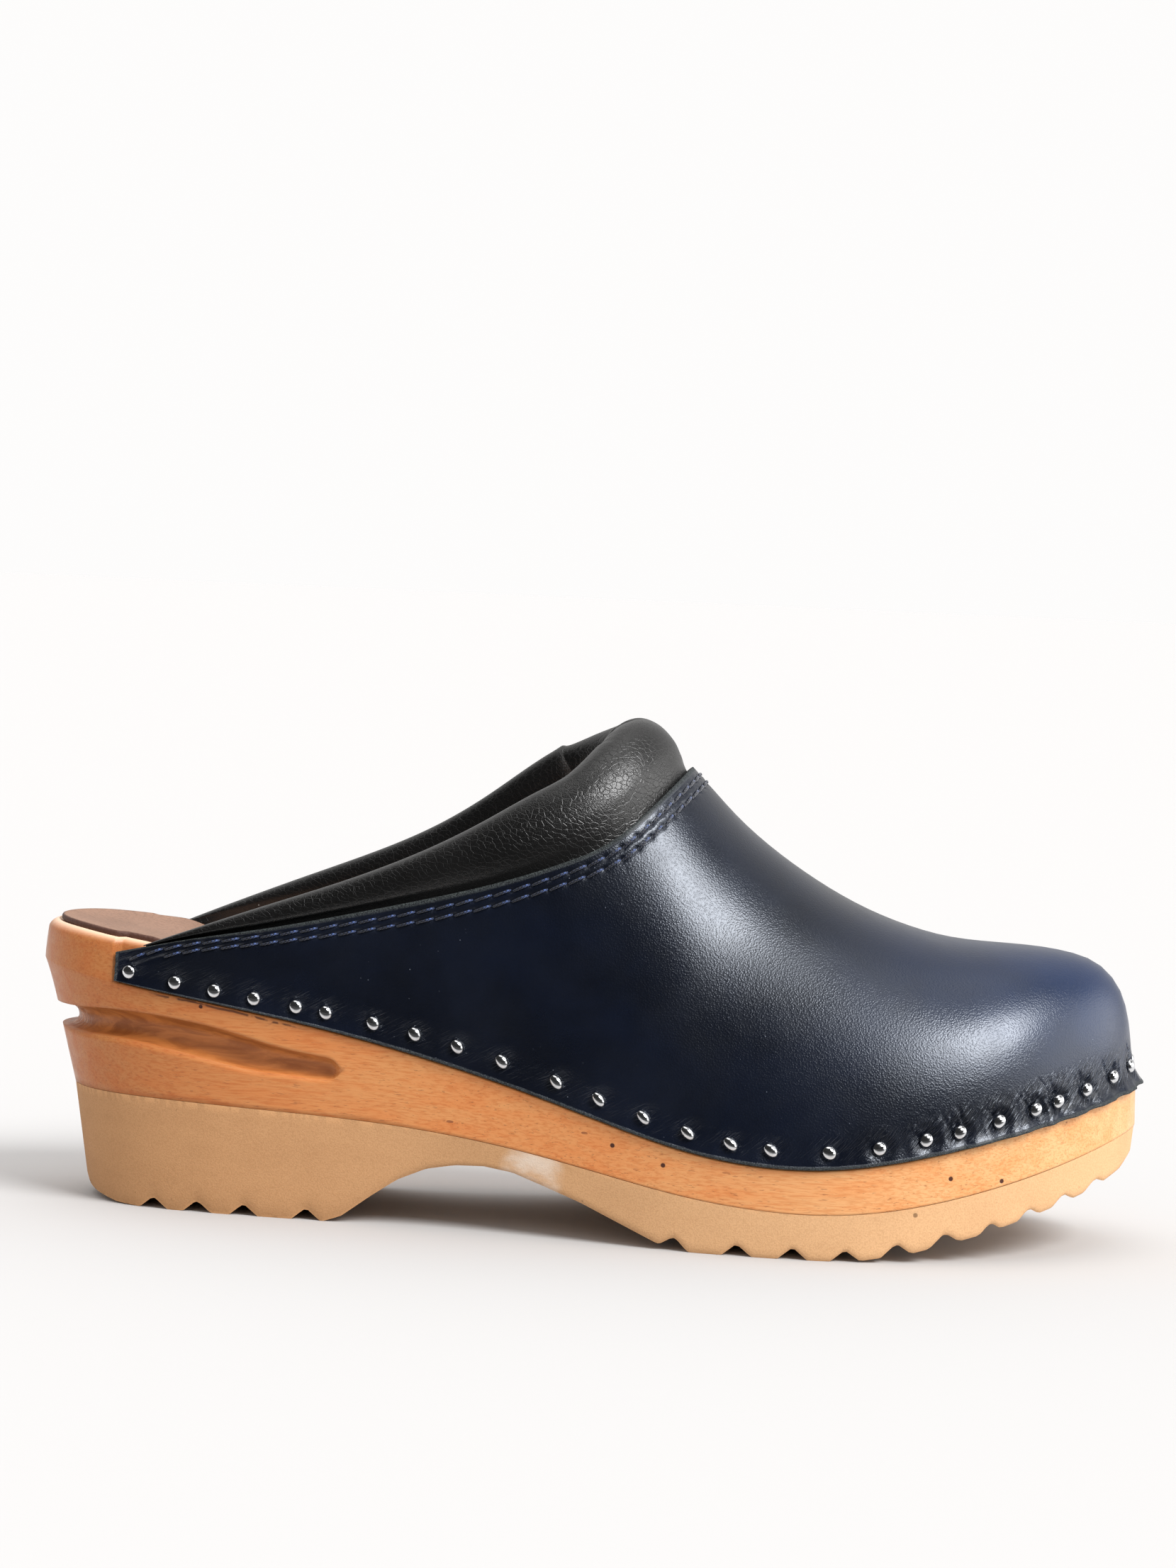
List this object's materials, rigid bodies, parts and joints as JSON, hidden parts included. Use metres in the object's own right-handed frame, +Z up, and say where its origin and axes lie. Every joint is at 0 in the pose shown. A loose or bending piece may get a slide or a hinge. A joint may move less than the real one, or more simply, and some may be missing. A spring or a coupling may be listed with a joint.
{
  "type": "wooden clog",
  "caption": "Backless right-foot wooden clog: nailed navy leather vamp, padded black collar, leather sock, stepped heel and ribbed moulded outsole with an arch.",
  "frame": {"origin": "on the floor, at the middle of the clog's box in plan", "axes": "+X from heel to toe, +Z up, the outer (lateral) side of the foot towards -Y"},
  "size_m": [0.2704, 0.1008, 0.1229],
  "materials": {
    "alder_wood": "clear lacquered alder, satin",
    "polyurethane": "matt moulded polyurethane, tan",
    "sock_leather": "pebbled brown leather, matt",
    "navy_leather": "smooth navy leather, satin",
    "black_leather": "soft black leather, satin",
    "padding_foam": "open foam",
    "sewing_thread": "waxed navy thread",
    "nickel": "bright nickel plate"
  },
  "bodies": {
    "root": {"wooden_sole": "alder_wood", "outsole": "polyurethane", "insole_sock": "sock_leather", "vamp": "navy_leather", "collar_cover": "black_leather", "collar_foam": "padding_foam", "seam_thread_1": "sewing_thread", "seam_thread_2": "sewing_thread", "tack_01": "nickel", "tack_02": "nickel", "tack_03": "nickel", "tack_04": "nickel", "tack_05": "nickel", "tack_06": "nickel", "tack_07": "nickel", "tack_08": "nickel", "tack_09": "nickel", "tack_10": "nickel", "tack_11": "nickel", "tack_12": "nickel", "tack_13": "nickel", "tack_14": "nickel", "tack_15": "nickel", "tack_16": "nickel", "tack_17": "nickel", "tack_18": "nickel", "tack_19": "nickel", "tack_20": "nickel", "tack_21": "nickel", "tack_22": "nickel", "tack_23": "nickel", "tack_24": "nickel", "tack_25": "nickel", "tack_26": "nickel", "tack_27": "nickel", "tack_28": "nickel", "tack_29": "nickel", "tack_30": "nickel", "tack_31": "nickel", "tack_32": "nickel", "tack_33": "nickel", "tack_34": "nickel", "tack_35": "nickel", "tack_36": "nickel", "tack_37": "nickel", "tack_38": "nickel", "tack_39": "nickel", "tack_40": "nickel", "tack_41": "nickel", "tack_42": "nickel", "tack_43": "nickel", "tack_44": "nickel", "tack_45": "nickel", "tack_46": "nickel", "tack_47": "nickel", "tack_48": "nickel", "tack_49": "nickel", "tack_50": "nickel"}
  },
  "joints": []
}
